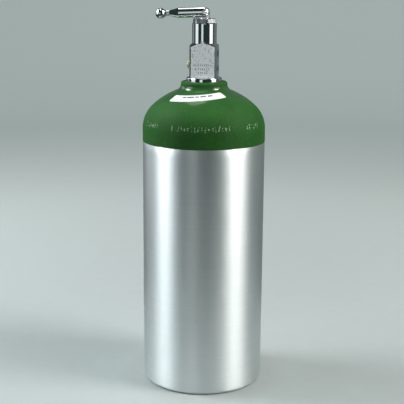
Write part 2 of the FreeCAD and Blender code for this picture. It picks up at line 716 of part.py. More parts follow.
# ---- Toggle ----
def lever_profile():
    """The bar turned about its own axis, drawn along +Z from the pivot: hub, bar, cone, ball."""
    cone_slope = math.degrees(math.atan2(BAR_RADIUS - LEVER_NECK_RADIUS, NECK_END - BAR_END))
    edge_setback = BAR_EDGE_RADIUS * math.tan(math.radians(cone_slope / 2))
    edge = (BAR_RADIUS - BAR_EDGE_RADIUS, BAR_END - edge_setback)
    fillet_r = LEVER_NECK_RADIUS + BALL_FILLET
    reach = BALL_FILLET + BALL_RADIUS
    fillet = (fillet_r, BALL_CENTRE - math.sqrt(reach**2 - fillet_r**2))
    touch = math.degrees(math.asin((BALL_CENTRE - fillet[1]) / reach))
    return turned(
        (0, -BAR_RADIUS),
        arc((0, 0), BAR_RADIUS, -90, 0),
        (BAR_RADIUS, edge[1]),
        arc(edge, BAR_EDGE_RADIUS, 0, cone_slope),
        (LEVER_NECK_RADIUS, NECK_END),
        (LEVER_NECK_RADIUS, fillet[1]),
        arc(fillet, BALL_FILLET, 180, 180 - touch),
        arc((0, BALL_CENTRE), BALL_RADIUS, -touch, 90),
    )


def toggle_lever():
    """The bar laid along -X with its forked hub over the spindle's tongue, drooping to its stop."""
    bar = lever_profile()
    slot = centred_box(4 * BAR_RADIUS, FORK_SLOT_WIDTH, -2 * BAR_RADIUS, FORK_SLOT_DEPTH)
    hole = Part.makeCylinder(PIN_RADIUS, 4 * BAR_RADIUS, FreeCAD.Vector(0, -2 * BAR_RADIUS, 0), Y_AXIS)
    lever = aimed(bar.cut([slot, hole]), -X_AXIS, PIVOT_Z)
    lever.rotate(at(0, PIVOT_Z), Y_AXIS, -LEVER_DROOP)
    return lever


def toggle_pin():
    length = 2 * PIN_HALF_LENGTH
    pin = turned(
        (0, 0),
        (PIN_RADIUS - PIN_CHAMFER, 0),
        (PIN_RADIUS, PIN_CHAMFER),
        (PIN_RADIUS, length - PIN_CHAMFER),
        (PIN_RADIUS - PIN_CHAMFER, length),
        (0, length),
    )
    pin = aimed(pin, Y_AXIS, PIVOT_Z)
    pin.translate(FreeCAD.Vector(0, -PIN_HALF_LENGTH, 0))
    return pin


PIECES = (
    cylinder_shell,
    shoulder_label,
    neck_o_ring,
    valve_body,
    inlet_filter,
    filter_retaining_ring,
    relief_plug,
    rupture_disc,
    relief_gasket,
    bonnet_nut,
    bonnet_gasket,
    thrust_washer,
    spindle,
    spindle_o_ring_lower,
    spindle_o_ring_upper,
    backup_ring,
    seat_carrier,
    seat_insert,
    toggle_lever,
    toggle_pin,
)

os.makedirs("parts", exist_ok=True)
for piece in PIECES:
    shape = piece()
    if not shape.isValid() or not shape.Solids:
        raise ValueError(piece.__name__ + " is not a valid solid")
    print(piece.__name__, len(shape.Solids), round(shape.Volume, 1), shape.BoundBox)
    shape.exportStep("parts/" + piece.__name__ + ".step")
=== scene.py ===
import math

import bpy
from mathutils import Euler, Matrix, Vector

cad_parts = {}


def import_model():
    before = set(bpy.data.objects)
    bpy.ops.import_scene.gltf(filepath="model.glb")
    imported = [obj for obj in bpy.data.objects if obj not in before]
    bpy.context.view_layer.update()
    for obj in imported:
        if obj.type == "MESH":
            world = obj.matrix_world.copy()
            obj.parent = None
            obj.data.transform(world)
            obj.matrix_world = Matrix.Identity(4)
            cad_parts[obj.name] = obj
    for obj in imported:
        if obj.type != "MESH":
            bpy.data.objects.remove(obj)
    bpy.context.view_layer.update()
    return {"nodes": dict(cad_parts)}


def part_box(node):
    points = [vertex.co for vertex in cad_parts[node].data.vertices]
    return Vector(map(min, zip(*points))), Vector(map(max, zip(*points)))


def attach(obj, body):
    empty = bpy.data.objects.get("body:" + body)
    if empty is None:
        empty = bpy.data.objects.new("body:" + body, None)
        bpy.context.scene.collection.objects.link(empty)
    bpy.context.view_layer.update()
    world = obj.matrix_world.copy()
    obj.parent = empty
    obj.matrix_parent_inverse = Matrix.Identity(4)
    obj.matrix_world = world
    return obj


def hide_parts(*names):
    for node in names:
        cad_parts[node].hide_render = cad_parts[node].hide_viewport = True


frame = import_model()

# A portable medical oxygen cylinder: green shoulder, bare turned wall, chromed post valve.
# Metres. The CAD frame is kept: origin at the centre of the foot, +Z up, outlet +X, marked flat -Y.
MM = 0.001

# ---- Vessel, with the same shape as its CAD solid ----
TANK_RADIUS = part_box("cylinder_shell")[1].x
NECK_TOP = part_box("cylinder_shell")[1].z
SHOULDER_Z = 237.5 * MM
KNUCKLE_RADIUS = 28.0 * MM
CROWN_RADIUS = 68.0 * MM
NECK_RADIUS = 21.0 * MM
NECK_FILLET = 6.0 * MM
NECK_EDGE_RADIUS = 2.2 * MM
FOOT_EDGE_RADIUS = 3.5 * MM
FOOT_RING_INNER = 41.0 * MM
BASE_DISH_DEPTH = 2.0 * MM
WALL = 5.0 * MM
BASE_THICKNESS = 9.0 * MM
INNER_SHOULDER_Z = 226.0 * MM
INNER_KNUCKLE_RADIUS = 24.0 * MM
INNER_CROWN_RADIUS = 56.0 * MM
INNER_BASE_CORNER = 14.0 * MM
GLAND_RADIUS = 11.5 * MM
GLAND_DEPTH = 2.7 * MM
BORE_RADIUS = 9.55 * MM
BORE_CREST = 8.80 * MM
THREAD_START = 265.2 * MM
THREAD_PITCH = 1.5875 * MM
THREAD_RIDGES = 7
THREAD_CREST_HALF = 0.10 * MM
THREAD_BASE_HALF = 0.53 * MM
CROWN_Z = SHOULDER_Z - math.sqrt(
    (CROWN_RADIUS - KNUCKLE_RADIUS) ** 2 - (TANK_RADIUS - KNUCKLE_RADIUS) ** 2
)

# ---- Enamel: from the paint line up over the neck's rounded edge ----
PAINT_LINE = 226.2 * MM
PAINT_STEP = 0.08 * MM
COAT_DEPTH = 0.7 * MM
COAT_GAP = 0.1 * MM
COAT_FEATHER = 2.5 * MM
COAT_TOP_RADIUS = 17.3 * MM

# ---- Stamped marks on the knuckle: plain strokes in cells, in place of lettering ----
STAMP_FOOT = 4.8 * MM
STAMP_HEIGHT = 4.0 * MM
STAMP_CELL = 3.1 * MM
STAMP_WIDTH = 1.8 * MM
STROKE_HALF = 0.30 * MM
STROKE_SLOPE = 0.28 * MM
STAMP_DEPTH = 0.32 * MM
STAMP_JITTER = 0.35 * MM
STAMP_JITTER_STEP = 2.4
STROKES = {
    "|": (((0.5, 0.0), (0.5, 1.0)),),
    "/": (((0.15, 0.0), (0.85, 1.0)),),
    ":": (((0.5, 0.25), (0.5, 0.3)), ((0.5, 0.75), (0.5, 0.8))),
    "=": (((0.2, 0.3), (0.8, 0.3)), ((0.2, 0.7), (0.8, 0.7))),
    "+": (((0.1, 0.5), (0.9, 0.5)), ((0.5, 0.15), (0.5, 0.85))),
}
# Each group: the azimuth of its middle from -Y toward +X, in degrees, and its marks.
STAMP_GROUPS = ((-48.5, "/:|=+|:"), (6.0, "|:/|+=||/:|+=|/:+|"), (61.0, "=|:/+|"))

# ---- Mesh density: column steps in degrees, and rows along each run of a section ----
FINE_STEP = 0.36
COARSE_STEP = 1.5
VESSEL_COLUMNS = 224
WALL_ROWS = 24
FOOT_ROWS = 14
DISH_ROWS = 12
SHORT_RUN_ROWS = 3
NECK_EDGE_LEAST_ROWS = 4
UNDERCOAT_KNUCKLE_ROWS = 24
UNDERCOAT_ROWS = 12
INSIDE_CROWN_ROWS = 16
INSIDE_KNUCKLE_ROWS = 12
INSIDE_WALL_ROWS = 10
INSIDE_CORNER_ROWS = 10
INSIDE_FLOOR_ROWS = 4
COAT_LIP_ROWS = 4
COAT_WALL_ROWS = 10
COAT_KNUCKLE_ROWS = 76
COAT_ROWS = 20
COAT_BACK_KNUCKLE_ROWS = 12
COAT_BACK_ROWS = 8

# ---- Label: a strip round the dome, a little off centre, with one greeked line ----
LABEL_CENTRE = Vector((-4.3 * MM, -2.6 * MM))
LABEL_INNER = 26.0 * MM
LABEL_OUTER = 34.0 * MM
LABEL_START = -41.5
LABEL_END = 54.2
LABEL_LIFT = 0.15 * MM
LABEL_GAP = LABEL_LIFT / 5
LABEL_CORNER = 0.9 * MM
LABEL_COLUMNS = 260
LABEL_ROWS = 40
PRINT_LOW = 0.24
PRINT_HIGH = 0.46
RIM_ALONG = 1 / 60
RIM_ACROSS = 1 / 14
PRINT_WORDS = ((0.22, 0.29), (0.31, 0.44), (0.46, 0.52), (0.55, 0.66), (0.69, 0.78))

# ---- Where a finish changes: each pair runs from none of it to all of it ----
ENAMEL_GLOSSY = (21.05 * MM, 21.35 * MM)
ENAMEL_RUBBED = (30 * MM, 47 * MM)
SATIN_FACE = (10.70 * MM, 10.78 * MM)
SATIN_FOOT = (283.7 * MM, 284.0 * MM)
SATIN_HEAD = (316.0 * MM, 315.0 * MM)
MARK_FLOOR = (10.97 * MM, 10.90 * MM)
MARK_REACH = (9.8 * MM, 9.5 * MM)
NUT_FOOT = (331.6 * MM, 331.8 * MM)
NUT_HEAD = (335.7 * MM, 335.5 * MM)
SATIN_ROUGHNESS = 0.36
NUT_MATTNESS = 0.4

# ---- Studio ----
CAMERA_AZIMUTH = 8.6
CAMERA_PITCH = 13.097
CAMERA_ROLL = 0.399
CAMERA_DISTANCE = 900.0 * MM
CAMERA_HEIGHT = 377.3 * MM
CAMERA_LENS = 88.84
CAMERA_SENSOR = 36.0
CAMERA_SHIFT = -0.0033
CLIP_NEAR = 0.05
CLIP_FAR = 20.0
LIGHT_FOOT = -0.05
LIGHT_SPLIT = 0.30
LIGHT_TOP = 0.95
HEAD_DISTANCE = 1.1
NEUTRAL = (1.0, 1.0, 1.0)
COOL = (0.90, 0.96, 1.0)
WARM = (1.0, 1.0, 0.97)
# Each standing light: azimuth, distance, width, radiance below and above LIGHT_SPLIT, tint.
STANDING_LIGHTS = {
    "left_softbox": (-76, 1.2, 0.66, 1.08, 5.0, COOL),
    "left_fill": (-124, 1.2, 0.55, 0.25, 1.2, COOL),
    "right_softbox": (66, 1.2, 0.72, 1.4, 4.2, WARM),
    "front_strip": (-20, 1.5, 0.46, 0.85, 0.6, (0.96, 1.0, 0.99)),
}
# Each raised light: azimuth, elevation, size, power in watts, tint.
HEAD_LIGHTS = {
    "overhead": (-155, 70, 0.34, 1.5, NEUTRAL),
    "front_head": (0, 78, 0.34, 0.7, NEUTRAL),
    "left_head": (-101, 41, 0.36, 10.0, (0.94, 0.98, 1.0)),
    "right_head": (72, 42, 0.36, 9.0, WARM),
}
WORLD_BEHIND = 150
FLOOR_RADIUS = 0.26
SWEEP_START = 1.6
SWEEP_RADIUS = 0.7
SWEEP_TOP = 3.0
SWEEP_ROWS = 24
STUDIO_COLUMNS = 96


# ---- Section drawing ----
def arc(centre, radius, start, end, count):
    """Points of an arc of a section, without its first point."""
    points = []
    for i in range(1, count + 1):
        a = math.radians(start + (end - start) * i / count)
        points.append((centre[0] + radius * math.cos(a), centre[1] + radius * math.sin(a)))
    return points


def line(start, end, count):
    """Evenly spaced points of a straight run, without its first point."""
    return [
        (start[0] + (end[0] - start[0]) * i / count, start[1] + (end[1] - start[1]) * i / count)
        for i in range(1, count + 1)
    ]


KNUCKLE = (TANK_RADIUS - KNUCKLE_RADIUS, SHOULDER_Z)
KNUCKLE_END = math.degrees(math.atan2(SHOULDER_Z - CROWN_Z, KNUCKLE[0]))
FILLET_R = NECK_RADIUS + NECK_FILLET
FILLET_RISE = math.sqrt((CROWN_RADIUS + NECK_FILLET) ** 2 - FILLET_R**2)
FILLET = (FILLET_R, CROWN_Z + FILLET_RISE)
CROWN_END = math.degrees(math.atan2(FILLET_RISE, FILLET_R))
NECK_EDGE = (NECK_RADIUS - NECK_EDGE_RADIUS, NECK_TOP - NECK_EDGE_RADIUS)


def shoulder(inset, knuckle_rows, rows):
    """Section from the top of the wall to the neck's top face, at a depth below the CAD surface."""
    points = [(TANK_RADIUS - inset, SHOULDER_Z)]
    points += arc(KNUCKLE, KNUCKLE_RADIUS - inset, 0, KNUCKLE_END, knuckle_rows)
    points += arc((0, CROWN_Z), CROWN_RADIUS - inset, KNUCKLE_END, CROWN_END, rows)
    points += arc(FILLET, NECK_FILLET + inset, 180 + CROWN_END, 180, rows)
    points += line(points[-1], (NECK_RADIUS - inset, NECK_EDGE[1]), SHORT_RUN_ROWS)
    edge_rows = max(rows // 2, NECK_EDGE_LEAST_ROWS)
    points += arc(NECK_EDGE, NECK_EDGE_RADIUS - inset, 0, 90, edge_rows)
    return points


def neck_bore():
    """Section down the neck's bore: O-ring gland, then the thread ridges."""
    points = [(GLAND_RADIUS, NECK_TOP - COAT_GAP), (GLAND_RADIUS, NECK_TOP - GLAND_DEPTH)]
    points.append((BORE_RADIUS, NECK_TOP - GLAND_DEPTH))
    for i in reversed(range(THREAD_RIDGES)):
        z = THREAD_START + i * THREAD_PITCH
        points += [(BORE_RADIUS, z + THREAD_BASE_HALF), (BORE_CREST, z + THREAD_CREST_HALF)]
        points += [(BORE_CREST, z - THREAD_CREST_HALF), (BORE_RADIUS, z - THREAD_BASE_HALF)]
    return points


def vessel_inside():
    """Section of the gas space, from the foot of the bore to the middle of the floor."""
    radius = TANK_RADIUS - WALL
    knuckle = (radius - INNER_KNUCKLE_RADIUS, INNER_SHOULDER_Z)
    drop = math.sqrt((INNER_CROWN_RADIUS - INNER_KNUCKLE_RADIUS) ** 2 - knuckle[0] ** 2)
    crown = (0, INNER_SHOULDER_Z - drop)
    mouth = math.degrees(math.acos(BORE_RADIUS / INNER_CROWN_RADIUS))
    join = math.degrees(math.atan2(drop, knuckle[0]))
    corner = (radius - INNER_BASE_CORNER, BASE_THICKNESS + INNER_BASE_CORNER)
    points = arc(crown, INNER_CROWN_RADIUS, mouth, mouth, 1)
    points += arc(crown, INNER_CROWN_RADIUS, mouth, join, INSIDE_CROWN_ROWS)
    points += arc(knuckle, INNER_KNUCKLE_RADIUS, join, 0, INSIDE_KNUCKLE_ROWS)
    points += line(points[-1], (radius, corner[1]), INSIDE_WALL_ROWS)
    points += arc(corner, INNER_BASE_CORNER, 0, -90, INSIDE_CORNER_ROWS)
    points += line(points[-1], (0, BASE_THICKNESS), INSIDE_FLOOR_ROWS)
    return points


def vessel_section():
    """Whole section of the bare vessel: dished foot, wall, the shoulder under its coat, inside."""
    dish_radius = (FOOT_RING_INNER**2 + BASE_DISH_DEPTH**2) / (2 * BASE_DISH_DEPTH)
    dish_edge = math.degrees(math.acos(FOOT_RING_INNER / dish_radius))
    foot = (TANK_RADIUS - FOOT_EDGE_RADIUS, FOOT_EDGE_RADIUS)
    skin = TANK_RADIUS - PAINT_STEP
    points = [(0, BASE_DISH_DEPTH)]
    points += arc((0, BASE_DISH_DEPTH - dish_radius), dish_radius, 90, dish_edge, DISH_ROWS)
    points += line(points[-1], (foot[0], 0), SHORT_RUN_ROWS)
    points += arc(foot, FOOT_EDGE_RADIUS - PAINT_STEP, -90, 0, FOOT_ROWS)
    points += line(points[-1], (skin, PAINT_LINE + COAT_FEATHER / 2), WALL_ROWS)
    under = COAT_DEPTH + COAT_GAP
    points.append((TANK_RADIUS - under, PAINT_LINE + COAT_FEATHER))
    points += shoulder(under, UNDERCOAT_KNUCKLE_ROWS, UNDERCOAT_ROWS)
    return points + neck_bore() + vessel_inside()


def coat_section():
    """Section of the enamel coat. Returns its points and the range of its knuckle rows."""
    edge = (TANK_RADIUS - PAINT_STEP, PAINT_LINE + PAINT_STEP)
    points = [(TANK_RADIUS - PAINT_STEP, PAINT_LINE)]
    points += arc(edge, PAINT_STEP, -90, 0, COAT_LIP_ROWS)
    points += line(points[-1], (TANK_RADIUS, SHOULDER_Z), COAT_WALL_ROWS)[:-1]
    first = len(points)
    points += shoulder(0, COAT_KNUCKLE_ROWS, COAT_ROWS)
    points.append((COAT_TOP_RADIUS, NECK_TOP))
    points.append((COAT_TOP_RADIUS, NECK_TOP - COAT_DEPTH))
    points += shoulder(COAT_DEPTH, COAT_BACK_KNUCKLE_ROWS, COAT_BACK_ROWS)[::-1][1:]
    points.append((TANK_RADIUS - COAT_DEPTH, PAINT_LINE + COAT_FEATHER))
    points.append((TANK_RADIUS - PAINT_STEP, PAINT_LINE + COAT_FEATHER / 2))
    return points, range(first, first + COAT_KNUCKLE_ROWS + 1)


# ---- Mesh building ----
def new_piece(name, points, faces, material, crease=35.0):
    """A smooth-shaded mesh object whose edges sharper than the crease angle stay crisp."""
    mesh = bpy.data.meshes.new(name)
    mesh.from_pydata(points, [], faces)
    mesh.validate()
    mesh.shade_smooth()
    mesh.set_sharp_from_angle(angle=math.radians(crease))
    mesh.materials.append(material)
    piece = bpy.data.objects.new(name, mesh)
    bpy.context.scene.collection.objects.link(piece)
    return piece


def paint_attribute(piece, name, values):
    """Stores one number per vertex for the piece's material to read."""
    piece.data.attributes.new(name, "FLOAT", "POINT").data.foreach_set("value", values)


def even_angles(count):
    """Column angles spread evenly round the axis, in degrees."""
    return [360.0 * i / count for i in range(count)]


def revolve(section, angles, closed, depth=None):
    """Points and faces of a section turned about Z, angles running from -Y toward +X. A point on
    the axis becomes one shared vertex. depth(row, angle) sinks a point toward the axis."""
    points = []
    starts = []
    for row, (r, z) in enumerate(section):
        starts.append(len(points))
        if r == 0:
            points.append((0, 0, z))
            continue
        for angle in angles:
            a = math.radians(angle)
            reach = r - (depth(row, angle) if depth else 0)
            points.append((reach * math.sin(a), -reach * math.cos(a), z))

    def corners(row, *used):
        """A face's corners on one row: the shared vertex on the axis, or one for each column."""
        if section[row][0] == 0:
            return [starts[row]]
        return [starts[row] + column for column in used]

    columns = len(angles)
    faces = []
    rows = len(section)
    for row in range(rows if closed else rows - 1):
        after = (row + 1) % rows
        if section[row][0] == 0 and section[after][0] == 0:
            continue
        for i in range(columns):
            j = (i + 1) % columns
            faces.append(corners(row, i, j) + corners(after, j, i))
    return points, faces


# ---- Stamped marks ----
def stamp_strokes():
    """Every stroke as two ends in (distance round the wall, distance up the knuckle)."""
    strokes = []
    for azimuth, marks in STAMP_GROUPS:
        for i, mark in enumerate(marks):
            left = math.radians(azimuth) * TANK_RADIUS + (i - len(marks) / 2) * STAMP_CELL
            foot = STAMP_FOOT + STAMP_JITTER * math.sin(STAMP_JITTER_STEP * i + azimuth)
            for ends in STROKES[mark]:
                strokes.append(
                    [(left + u * STAMP_WIDTH, foot + v * STAMP_HEIGHT) for u, v in ends]
                )
    return strokes


def distance_to(stroke, u, v):
    """Distance from a surface point to a stroke's centre line."""
    (au, av), (bu, bv) = stroke
    du = bu - au
    dv = bv - av
    share = ((u - au) * du + (v - av) * dv) / (du * du + dv * dv)
    share = min(1.0, max(0.0, share))
    return math.hypot(u - au - share * du, v - av - share * dv)


def stamped(strokes, u, v):
    """How deep a surface point is stamped, from 0 on the surface to 1 on a stroke's floor."""
    reach = STROKE_HALF + STROKE_SLOPE
    near = [s for s in strokes if abs(s[0][0] - u) < STAMP_CELL]
    nearest = min((distance_to(s, u, v) for s in near), default=reach)
    t = min(1.0, max(0.0, (reach - nearest) / STROKE_SLOPE))
    return t * t * (3 - 2 * t)


def stamp_angles():
    """Columns of the coat: fine under each group of marks, coarse elsewhere."""
    spans = []
    for azimuth, marks in STAMP_GROUPS:
        half = math.degrees((len(marks) / 2 + 1) * STAMP_CELL / TANK_RADIUS)
        spans.append((azimuth - half, azimuth + half))
    angles = []
    here = -180.0
    while here < 180.0 - FINE_STEP:
        angles.append(here)
        fine = any(low <= here <= high for low, high in spans)
        here += FINE_STEP if fine else COARSE_STEP
    return angles


# ---- Material helpers ----
def new_material(name, base, metallic, roughness, **sockets):
    """A material whose Principled shader has these uniform values on its own sockets."""
    material = bpy.data.materials.new(name)
    material.use_nodes = True
    shader = material.node_tree.nodes["Principled BSDF"]
    shader.inputs["Base Color"].default_value = (*base, 1)
    shader.inputs["Metallic"].default_value = metallic
    shader.inputs["Roughness"].default_value = roughness
    for socket, value in sockets.items():
        shader.inputs[socket.replace("_", " ")].default_value = value
    material.diffuse_color = (*base, 1)
    return material


def add_node(material, kind, inputs, **settings):
    """A shader node; an input that is a socket is linked, and any other value is set."""
    node = material.node_tree.nodes.new("ShaderNode" + kind)
    for setting, value in settings.items():
        setattr(node, setting, value)
    for key, value in inputs.items():
        if isinstance(value, bpy.types.NodeSocket):
            material.node_tree.links.new(value, node.inputs[key])
        else:
            node.inputs[key].default_value = value
    return node


def connect(material, socket_name, output):
    """Links a node's output to one of the shader's inputs."""
    shader = material.node_tree.nodes["Principled BSDF"]
    material.node_tree.links.new(output, shader.inputs[socket_name])


def place(material, scale=(1, 1, 1)):
    """The point on the piece in metres, in the CAD frame, stretched by a scale."""
    coordinates = add_node(material, "TexCoord", {}).outputs["Object"]
    if tuple(scale) == (1, 1, 1):
        return coordinates
    return add_node(material, "Mapping", {"Vector": coordinates, "Scale": scale}).outputs["Vector"]


def noise(material, vector, scale, detail=3.0, roughness=0.55):
    """Noise from 0 to 1, mostly near the middle."""
    inputs = {"Vector": vector, "Scale": scale, "Detail": detail, "Roughness": roughness}
    return add_node(material, "TexNoise", inputs).outputs["Fac"]


def math_node(material, operation, a, b=0.0):
    """The result of one sum on one or two values."""
    return add_node(material, "Math", {0: a, 1: b}, operation=operation).outputs[0]


def span(material, value, low, high, to_low=0.0, to_high=1.0):
    """Maps a value smoothly from one range to another, clamped."""
    inputs = {"Value": value, 1: low, 2: high, 3: to_low, 4: to_high}
    return add_node(material, "MapRange", inputs, interpolation_type="SMOOTHSTEP").outputs[0]


def mix_colour(material, factor, a, b):
    """Colour a where the factor is 0, and colour b where it is 1."""
    inputs = {0: factor, 6: a, 7: b}
    return add_node(material, "Mix", inputs, data_type="RGBA").outputs[2]


def bump(material, height, strength, distance):
    """Tilts the shader's normal by a height, with a depth in metres."""
    inputs = {"Height": height, "Strength": strength, "Distance": distance}
    output = add_node(material, "Bump", inputs).outputs["Normal"]
    connect(material, "Normal", output)


def colour(r, g, b):
    """An opaque colour."""
    return (r, g, b, 1.0)


# ---- Materials ----
def brushed_aluminium():
    """Bare wall, turned and brushed round the cylinder, with faint smears."""
    material = new_material(
        "brushed_aluminium", (0.80, 0.84, 0.84), 1.0, 0.42, Anisotropic=0.75, Anisotropic_Rotation=0.25
    )
    tangent = add_node(material, "Tangent", {}, direction_type="RADIAL", axis="Z").outputs["Tangent"]
    connect(material, "Tangent", tangent)
    turning = noise(material, place(material, (9, 9, 2400)), 1.0, 4.0, 0.6)
    smears = noise(material, place(material, (30, 30, 9)), 1.0, 3.0)
    bright = mix_colour(
        material,
        span(material, smears, 0.3, 0.7),
        colour(0.79, 0.83, 0.83),
        colour(0.86, 0.89, 0.89),
    )
    lines = span(material, turning, 0.35, 0.75, 0.0, 0.3)
    lined = mix_colour(material, lines, bright, colour(0.68, 0.73, 0.73))
    connect(material, "Base Color", lined)
    connect(material, "Roughness", span(material, turning, 0.25, 0.75, 0.44, 0.54))
    bump(material, turning, 0.12, 0.02 * MM)
    return material


def green_enamel():
    """Sprayed enamel: glossy where it pools round the neck's foot, dull on the neck and lower down,
    with pale painted highlights in the stamped marks.
    """
    material = new_material(
        "green_enamel", (0.03, 0.13, 0.026), 0.0, 0.6, Specular_IOR_Level=0.1, Coat_Roughness=0.10
    )
    point = add_node(material, "SeparateXYZ", {0: place(material)})
    across = add_node(
        material, "CombineXYZ", {0: point.outputs["X"], 1: point.outputs["Y"], 2: 0.0}
    ).outputs[0]
    radius = add_node(material, "VectorMath", {0: across}, operation="LENGTH").outputs["Value"]
    rubbed = span(material, radius, *ENAMEL_RUBBED)
    pooled = span(material, radius, *ENAMEL_GLOSSY)
    peel = noise(material, place(material), 520.0, 2.0)
    patches = noise(material, place(material), 38.0, 4.0)
    grain = noise(material, place(material), 900.0, 2.0)
    base = mix_colour(
        material,
        span(material, patches, 0.3, 0.7),
        colour(0.019, 0.089, 0.015),
        colour(0.027, 0.113, 0.022),
    )
    dust = math_node(material, "MULTIPLY", rubbed, span(material, grain, 0.60, 0.72, 0.0, 0.5))
    base = mix_colour(material, dust, base, colour(0.09, 0.20, 0.08))
    pores = span(material, grain, 0.40, 0.30, 0.0, 0.55)
    base = mix_colour(material, pores, base, colour(0.012, 0.06, 0.010))
    # Painted highlight: a pale colour in the stamped strokes stands in for glints on their edges.
    glint_mask = add_node(material, "Attribute", {}, attribute_name="glint_mask").outputs["Fac"]
    painted_glints = math_node(material, "MULTIPLY", glint_mask, span(material, grain, 0.42, 0.56))
    connect(material, "Base Color", mix_colour(material, painted_glints, base, colour(0.40, 0.54, 0.38)))
    connect(material, "Roughness", span(material, patches, 0.3, 0.7, 0.52, 0.66))
    gloss = math_node(material, "SUBTRACT", 1.0, rubbed)
    connect(material, "Coat Weight", math_node(material, "MULTIPLY", gloss, pooled))
    bump(material, peel, 0.05, 0.05 * MM)
    return material


def chrome():
    """Polished chrome with faint haze. The valve's two flats are satin, and the milled nut half so. The
    floors of the sunk marks are painted near black, as painted shade.
    """
    material = new_material("chrome", (0.74, 0.75, 0.77), 1.0, 0.07)
    point = add_node(material, "SeparateXYZ", {0: place(material)})
    across = math_node(material, "ABSOLUTE", point.outputs["X"])
    side = math_node(material, "ABSOLUTE", point.outputs["Y"])
    flat = span(material, side, *SATIN_FACE)
    above = span(material, point.outputs["Z"], *SATIN_FOOT)
    below = span(material, point.outputs["Z"], *SATIN_HEAD)
    block = math_node(material, "MULTIPLY", above, below)
    satin = math_node(material, "MULTIPLY", flat, block)
    haze = noise(material, place(material), 130.0, 4.0)
    blast = noise(material, place(material), 620.0, 4.0, 0.75)
    pits = math_node(material, "MULTIPLY", satin, span(material, blast, 0.53, 0.63))
    # Painted shade: the floors of the sunk marks on the satin flats are coloured near black.
    sunk = math_node(material, "MULTIPLY", satin, span(material, side, *MARK_FLOOR))
    middle = span(material, across, *MARK_REACH)
    marks = math_node(material, "MULTIPLY", sunk, middle)
    polished = span(material, haze, 0.35, 0.75, 0.03, 0.09)
    nut_above = span(material, point.outputs["Z"], *NUT_FOOT)
    nut_below = span(material, point.outputs["Z"], *NUT_HEAD)
    milled = math_node(material, "MULTIPLY", nut_above, nut_below)
    matt_nut = math_node(material, "MULTIPLY", milled, NUT_MATTNESS)
    matt = math_node(material, "MAXIMUM", satin, matt_nut)
    frosted = math_node(material, "MAXIMUM", satin, milled)
    clean = mix_colour(material, frosted, colour(0.74, 0.76, 0.77), colour(0.93, 0.96, 0.97))
    mottled = mix_colour(material, pits, clean, colour(0.40, 0.43, 0.44))
    connect(material, "Base Color", mix_colour(material, marks, mottled, colour(0.06, 0.07, 0.07)))
    rough = math_node(material, "MULTIPLY", matt, SATIN_ROUGHNESS)
    connect(material, "Roughness", math_node(material, "ADD", polished, rough))
    connect(material, "Metallic", span(material, satin, 0.0, 1.0, 1.0, 0.1))
    relief = math_node(material, "MULTIPLY", blast, satin)
    bump(material, relief, 0.4, 0.06 * MM)
    return material


def turned_metal(name, base, dark, roughness, pitch):
    """A turned part: fine tool lines across its axis, slightly darker in patches."""
    material = new_material(name, base, 1.0, roughness)
    lines = noise(material, place(material, (pitch, pitch, pitch)), 1.0, 3.0, 0.6)
    patches = noise(material, place(material), 210.0, 3.0)
    tone = mix_colour(material, span(material, patches, 0.35, 0.7), colour(*base), colour(*dark))
    connect(material, "Base Color", tone)
    connect(material, "Roughness", span(material, lines, 0.3, 0.7, roughness - 0.07, roughness + 0.09))
    bump(material, lines, 0.08, 0.02 * MM)
    return material


def sintered_bronze():
    """Porous filter metal: packed grains with dark pores."""
    material = new_material("sintered_bronze", (0.55, 0.38, 0.20), 1.0, 0.55)
    inputs = {"Vector": place(material), "Scale": 2600.0}
    cells = add_node(material, "TexVoronoi", inputs).outputs["Distance"]
    grains = span(material, cells, 0.2, 0.75)
    tone = mix_colour(material, grains, colour(0.58, 0.40, 0.21), colour(0.12, 0.08, 0.05))
    connect(material, "Base Color", tone)
    connect(material, "Roughness", span(material, cells, 0.2, 0.75, 0.42, 0.8))
    bump(material, cells, 0.6, 0.1 * MM)
    return material


def moulded(name, base, shade, roughness, scale):
    """Rubber or plastic: fine moulding grain and a slight drift in tone."""
    material = new_material(name, base, 0.0, roughness)
    grain = noise(material, place(material), scale, 3.0)
    drift = noise(material, place(material), scale / 12, 2.0)
    tone = mix_colour(material, span(material, drift, 0.3, 0.7), colour(*base), colour(*shade))
    connect(material, "Base Color", tone)
    connect(material, "Roughness", span(material, grain, 0.3, 0.7, roughness - 0.08, roughness + 0.08))
    bump(material, grain, 0.15, 0.03 * MM)
    return material


def label_vinyl():
    """White vinyl with a grey greeked line and slightly dirty edges."""
    material = new_material("label_vinyl", (0.93, 0.94, 0.93), 0.0, 0.4)
    fibre = noise(material, place(material), 700.0, 3.0)
    ink = add_node(material, "Attribute", {}, attribute_name="ink").outputs["Fac"]
    rim = add_node(material, "Attribute", {}, attribute_name="rim").outputs["Fac"]
    paper = mix_colour(
        material, span(material, fibre, 0.3, 0.7), colour(0.84, 0.86, 0.85), colour(0.90, 0.91, 0.90)
    )
    dirty = math_node(material, "MULTIPLY", rim, span(material, fibre, 0.4, 0.6, 0.1, 0.5))
    aged = mix_colour(material, dirty, paper, colour(0.55, 0.58, 0.54))
    broken = math_node(material, "MULTIPLY", ink, span(material, fibre, 0.3, 0.5, 0.75, 1.0))
    connect(material, "Base Color", mix_colour(material, broken, aged, colour(0.08, 0.085, 0.09)))
    connect(material, "Roughness", span(material, fibre, 0.3, 0.7, 0.34, 0.48))
    bump(material, fibre, 0.08, 0.03 * MM)
    return material


